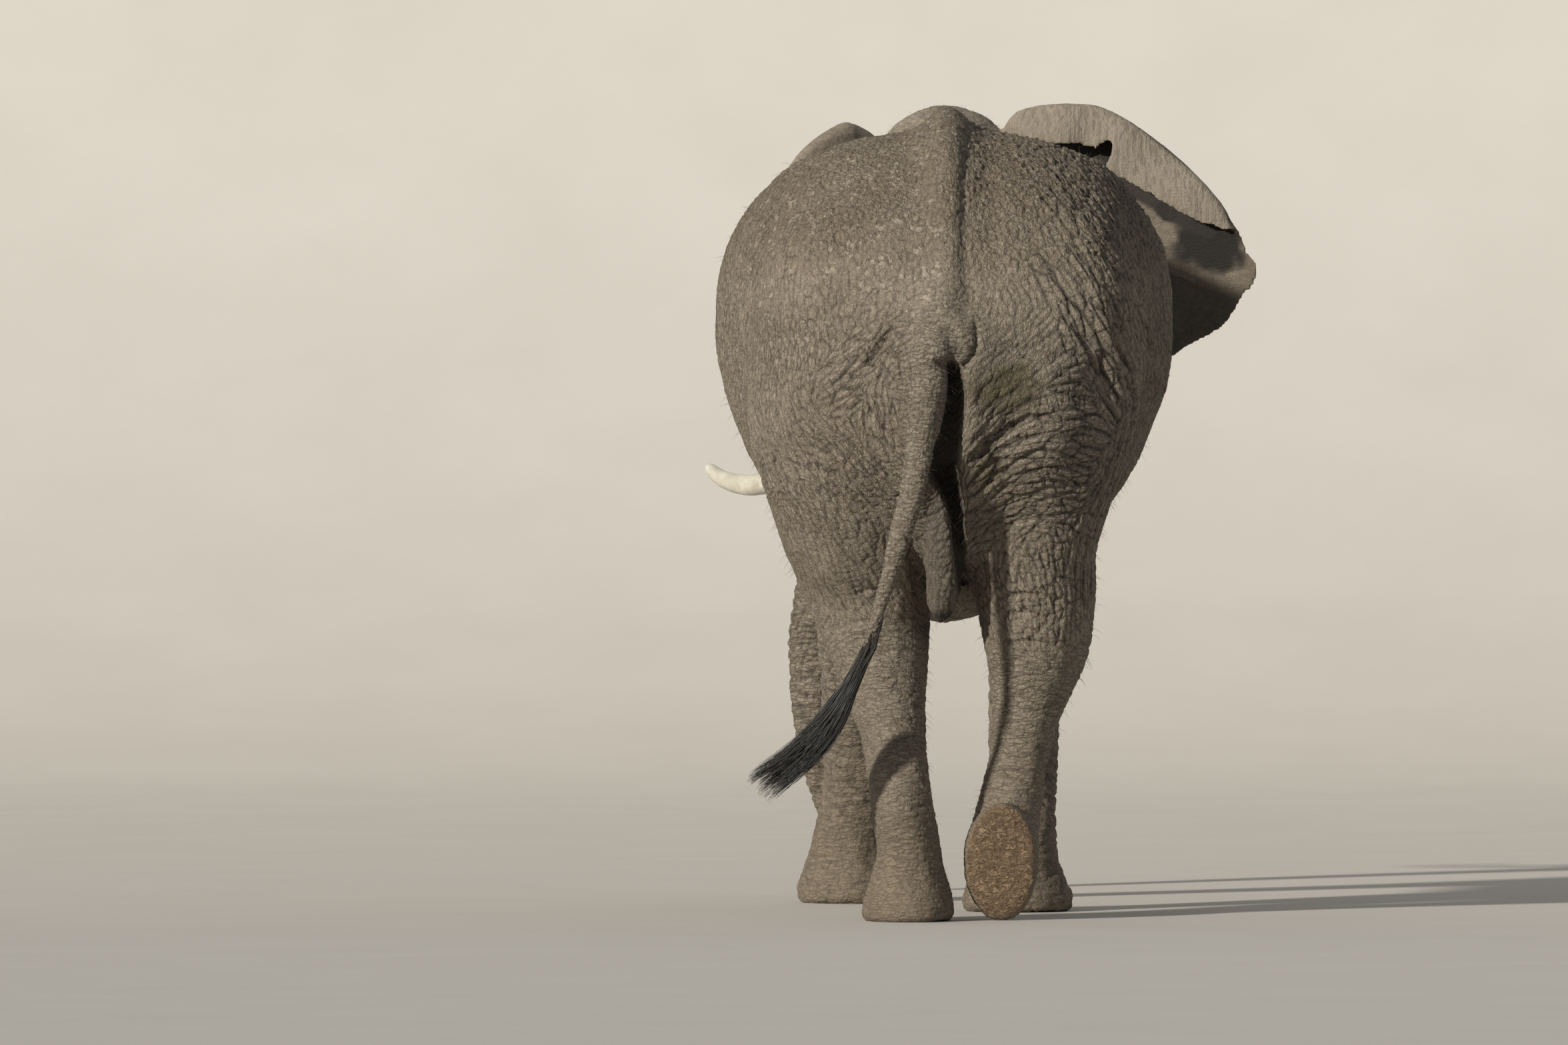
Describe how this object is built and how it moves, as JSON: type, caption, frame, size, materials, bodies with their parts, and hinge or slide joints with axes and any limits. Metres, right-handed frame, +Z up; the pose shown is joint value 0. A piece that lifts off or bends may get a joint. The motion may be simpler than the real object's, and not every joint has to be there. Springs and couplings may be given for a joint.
{
  "type": "elephant, walking, life-size still model",
  "caption": "Life-size still model of an adult African savanna elephant cow in mid stride, one hind foot on its toes, one ear held out, tail hanging aside.",
  "frame": {"origin": "on the ground under the middle of the bounding box", "axes": "+Y is the way the animal faces and walks, +X is its right side, +Z is up"},
  "size_m": [1.821, 4.1434, 2.6088],
  "materials": {
    "hide": "dry, deeply wrinkled grey-brown hide with dust and dried mud",
    "ivory": "satin ivory, stained yellow-brown towards the lip",
    "nail": "dull worn horn",
    "eye": "wet, dark amber-brown iris",
    "hair": "coarse near-black wiry hair"
  },
  "bodies": {
    "root": {"ear_left": "hide", "ear_right": "hide", "eye_left": "eye", "eye_right": "eye", "forefoot_left": "hide", "forefoot_right": "hide", "foreleg_lower_left": "hide", "foreleg_lower_right": "hide", "foreleg_upper_left": "hide", "foreleg_upper_right": "hide", "head": "hide", "hindfoot_left": "hide", "hindfoot_right": "hide", "hindleg_lower_left": "hide", "hindleg_lower_right": "hide", "lower_jaw": "hide", "nail_forefoot_left_1": "nail", "nail_forefoot_left_2": "nail", "nail_forefoot_left_3": "nail", "nail_forefoot_left_4": "nail", "nail_forefoot_right_1": "nail", "nail_forefoot_right_2": "nail", "nail_forefoot_right_3": "nail", "nail_forefoot_right_4": "nail", "nail_hindfoot_left_1": "nail", "nail_hindfoot_left_2": "nail", "nail_hindfoot_left_3": "nail", "nail_hindfoot_right_1": "nail", "nail_hindfoot_right_2": "nail", "nail_hindfoot_right_3": "nail", "neck": "hide", "tail_brush": "hair", "tail_root": "hide", "tail_shaft": "hide", "thigh_left": "hide", "thigh_right": "hide", "torso": "hide", "trunk_lower": "hide", "trunk_middle": "hide", "trunk_upper": "hide", "tusk_left": "ivory", "tusk_right": "ivory"}
  },
  "joints": []
}
